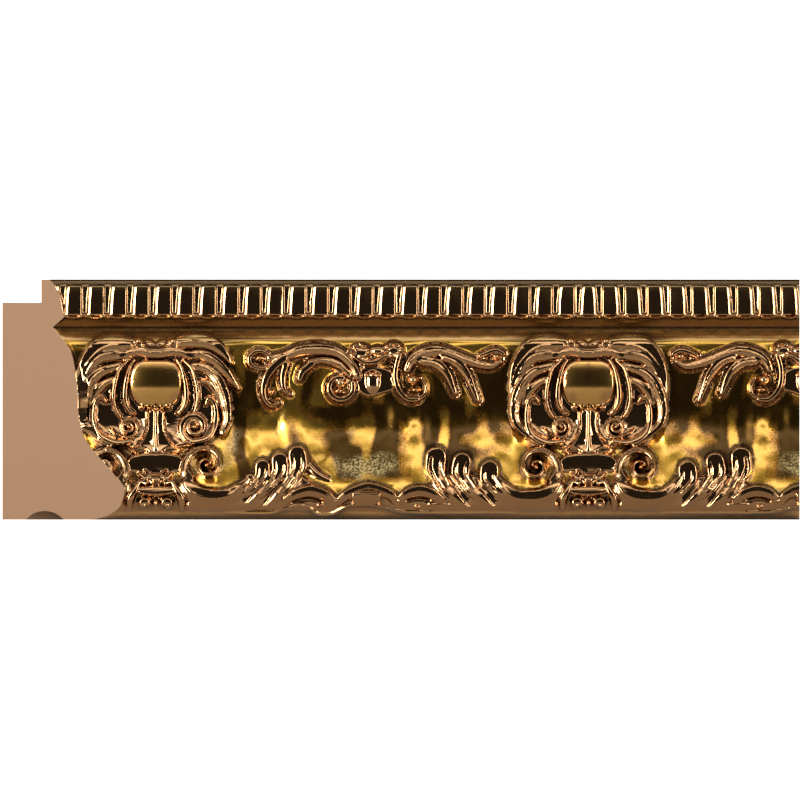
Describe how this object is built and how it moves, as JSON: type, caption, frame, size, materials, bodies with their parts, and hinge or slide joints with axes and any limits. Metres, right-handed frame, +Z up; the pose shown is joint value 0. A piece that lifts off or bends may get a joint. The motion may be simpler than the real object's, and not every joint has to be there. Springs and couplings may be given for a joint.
{
  "type": "picture frame moulding strip",
  "caption": "Carved picture frame moulding with a rebate, a bead row, scrolled cartouches and a running garland in gold and bronze foil.",
  "frame": {"origin": "centre of the footprint of the strip as it stands on its outer edge", "axes": "+X along the strip away from its bevelled end, +Y out of the flat back, +Z up across the width to the rebate"},
  "size_m": [0.266, 0.0418, 0.0803],
  "materials": {
    "gold_foil": "hot stamped antique gold and bronze metallic foil over foamed polystyrene"
  },
  "bodies": {
    "root": {"moulding_strip": "gold_foil"}
  },
  "joints": []
}
